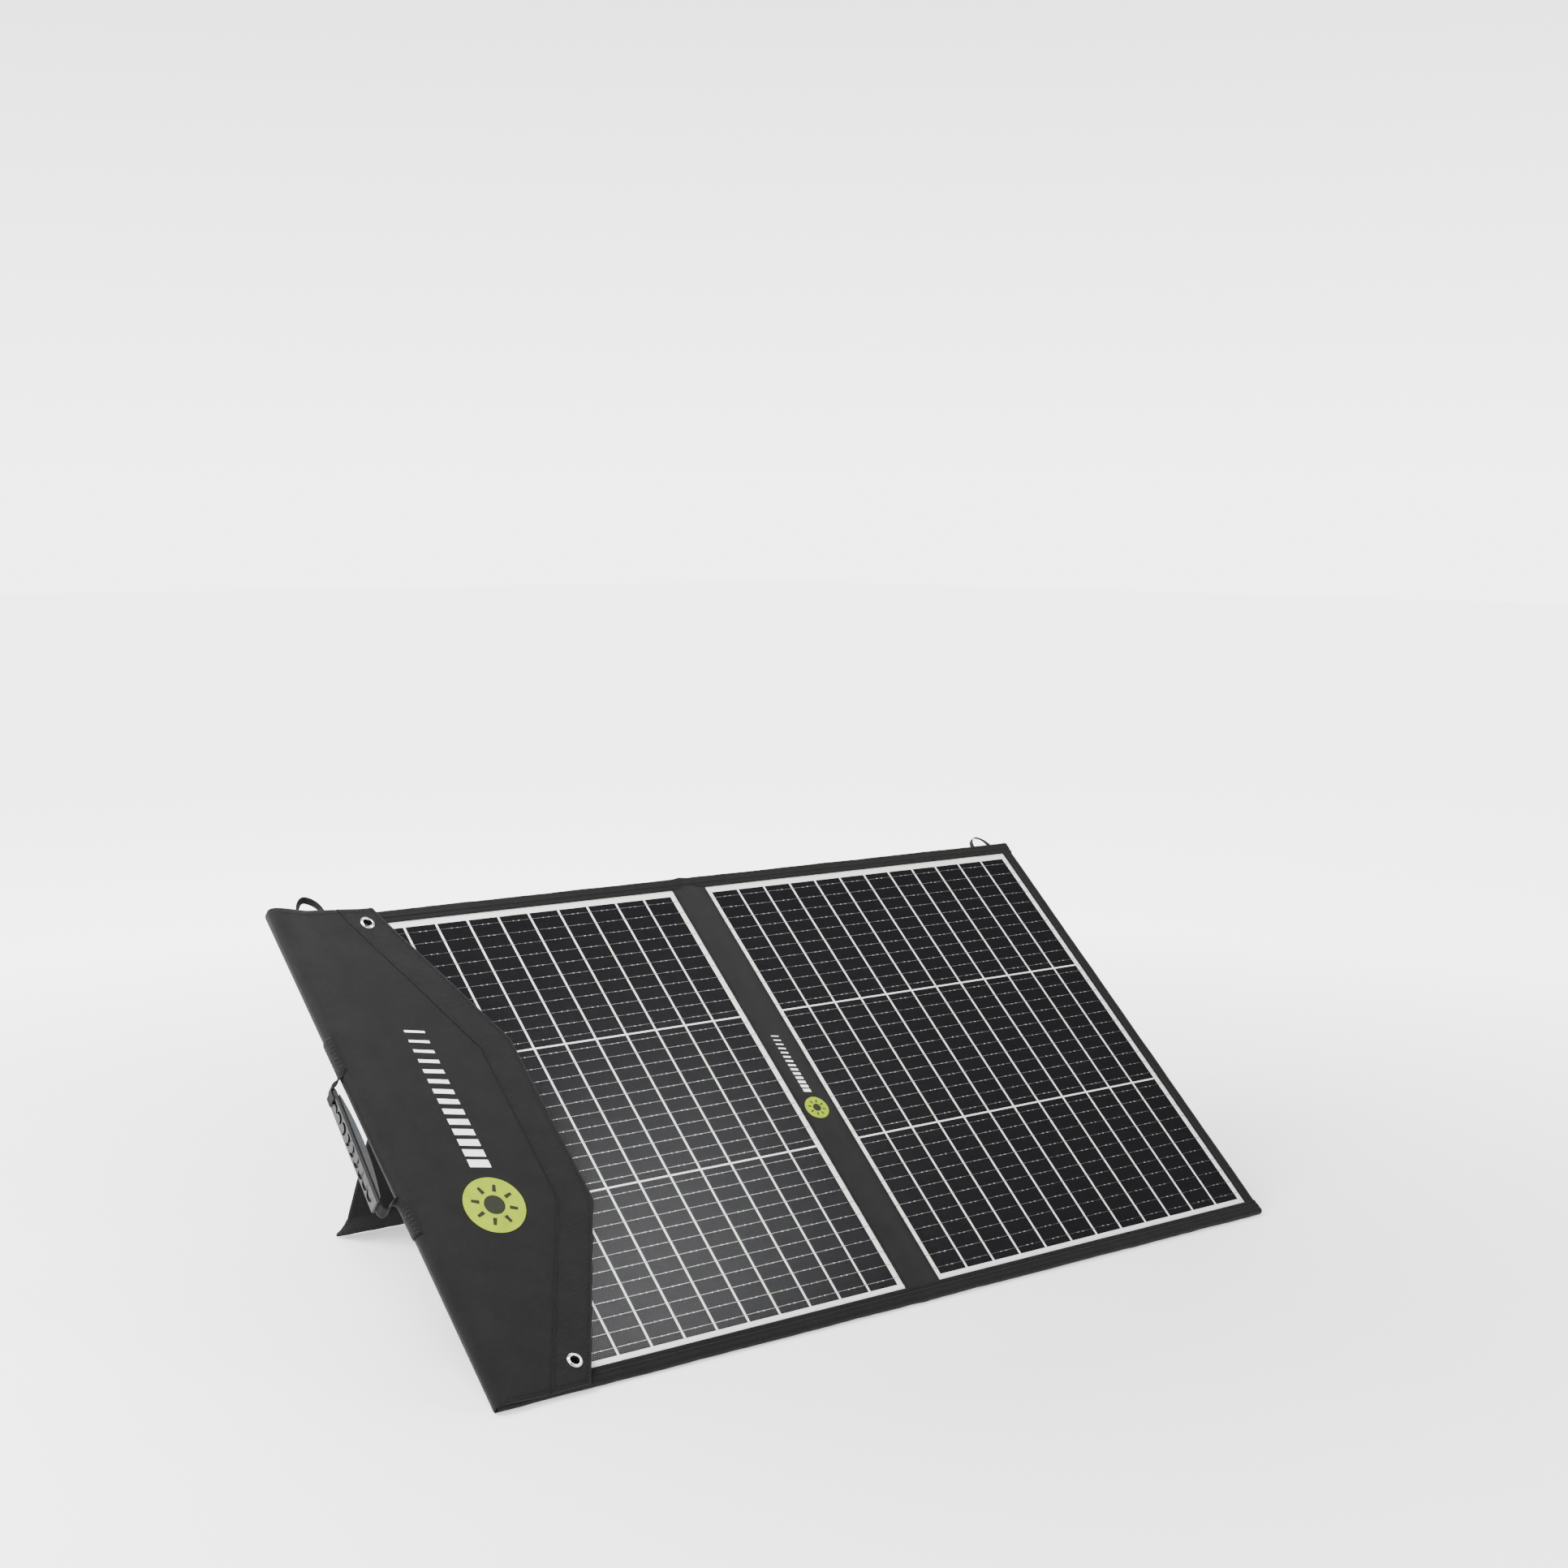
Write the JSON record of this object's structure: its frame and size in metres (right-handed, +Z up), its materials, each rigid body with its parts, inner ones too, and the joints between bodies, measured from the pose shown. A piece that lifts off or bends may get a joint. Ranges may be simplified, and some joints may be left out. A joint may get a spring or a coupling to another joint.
{
  "type": "folding solar panel",
  "caption": "Folding fabric-backed solar panel bag with two cell modules, a cover flap, a carry handle and rear stands.",
  "frame": {"origin": "on the ground under the middle of the opened panel", "axes": "+X along the width, +Y from the lower front edge back to the stands, +Z up"},
  "size_m": [1.0727, 0.5921, 0.4111],
  "materials": {
    "bag_fabric": "woven polyester, coated",
    "webbing": "ribbed webbing",
    "hook_loop": "hook and loop tape",
    "cell": "dark blue-black silicon",
    "cell_wire": "tinned wire",
    "film": "clear embossed film",
    "backsheet": "white laminate",
    "board": "stiff inner board",
    "lead": "flat lead",
    "eyelet": "polished",
    "grip_outer": "textured moulding",
    "grip_inner": "smooth moulding",
    "box": "fine textured moulding",
    "gland": "moulded nylon",
    "screw": "plain",
    "terminal": "plain",
    "diode": "moulded body"
  },
  "bodies": {
    "left_panel": {"left_front_film": "film", "left_cell_wires": "cell_wire", "left_cells": "cell", "left_backsheet": "backsheet", "left_stiffener_board": "board", "left_front_frame": "bag_fabric", "left_back_fabric": "bag_fabric", "left_corner_loop": "webbing", "left_stand_hinge_tape": "webbing", "left_stand_limiter": "webbing", "spine_front_strip": "bag_fabric", "spine_back_strip": "bag_fabric", "link_leads": "lead", "flap_fold_fabric": "bag_fabric", "junction_box_base": "box", "junction_box_lid": "box", "junction_box_screws": "screw", "terminal_rail": "terminal", "bypass_diodes": "diode", "gland_body": "gland", "gland_nut": "gland"},
    "right_panel": {"right_front_film": "film", "right_cell_wires": "cell_wire", "right_cells": "cell", "right_backsheet": "backsheet", "right_stiffener_board": "board", "right_front_frame": "bag_fabric", "right_back_fabric": "bag_fabric", "right_corner_loop": "webbing", "right_stand_hinge_tape": "webbing", "right_stand_limiter": "webbing"},
    "flap": {"flap_outer_fabric": "bag_fabric", "flap_inner_fabric": "bag_fabric", "flap_board": "board", "flap_edge_band": "bag_fabric", "flap_hook_strip": "hook_loop", "flap_eyelets": "eyelet", "eyelet_washers": "eyelet"},
    "handle": {"carry_strap": "webbing", "grip_outer_shell": "grip_outer", "grip_inner_shell": "grip_inner"},
    "left_stand": {"left_stand_board": "board", "left_stand_rear_cover": "bag_fabric", "left_stand_front_cover": "bag_fabric", "left_stand_foot": "bag_fabric"},
    "right_stand": {"right_stand_board": "board", "right_stand_rear_cover": "bag_fabric", "right_stand_front_cover": "bag_fabric", "right_stand_foot": "bag_fabric", "flap_loop_strip": "hook_loop"}
  },
  "joints": [
    {"name": "panel_fold", "type": "hinge", "parent": "left_panel", "child": "right_panel", "pos_m": [0.01687, -0.06995, 0.20587], "axis": [0, -0.7559, -0.6547], "range_deg": [0, 179.5], "deforming": ["spine_front_strip", "spine_back_strip", "link_leads"]},
    {"name": "flap_fold", "type": "hinge", "parent": "left_panel", "child": "flap", "pos_m": [-0.51033, -0.06609, 0.20141], "axis": [0, -0.7559, -0.6547], "range_deg": [0, 179.5], "deforming": ["flap_fold_fabric"]},
    {"name": "handle_swing", "type": "hinge", "parent": "left_panel", "child": "handle", "pos_m": [-0.51143, -0.06157, 0.1962], "axis": [0, -0.7559, -0.6547], "range_deg": [0, 90]},
    {"name": "left_stand_fold", "type": "hinge", "parent": "left_panel", "child": "left_stand", "pos_m": [-0.24663, 0.10737, 0.3387], "axis": [-1, 0, 0], "range_deg": [0, 76], "deforming": ["left_stand_limiter"]},
    {"name": "right_stand_fold", "type": "hinge", "parent": "right_panel", "child": "right_stand", "pos_m": [0.28037, 0.10737, 0.3387], "axis": [-1, 0, 0], "range_deg": [0, 76], "deforming": ["right_stand_limiter"]}
  ],
  "couplings": [
    {"joint": "handle_swing", "follows": "flap_fold", "ratio": 0.5}
  ]
}
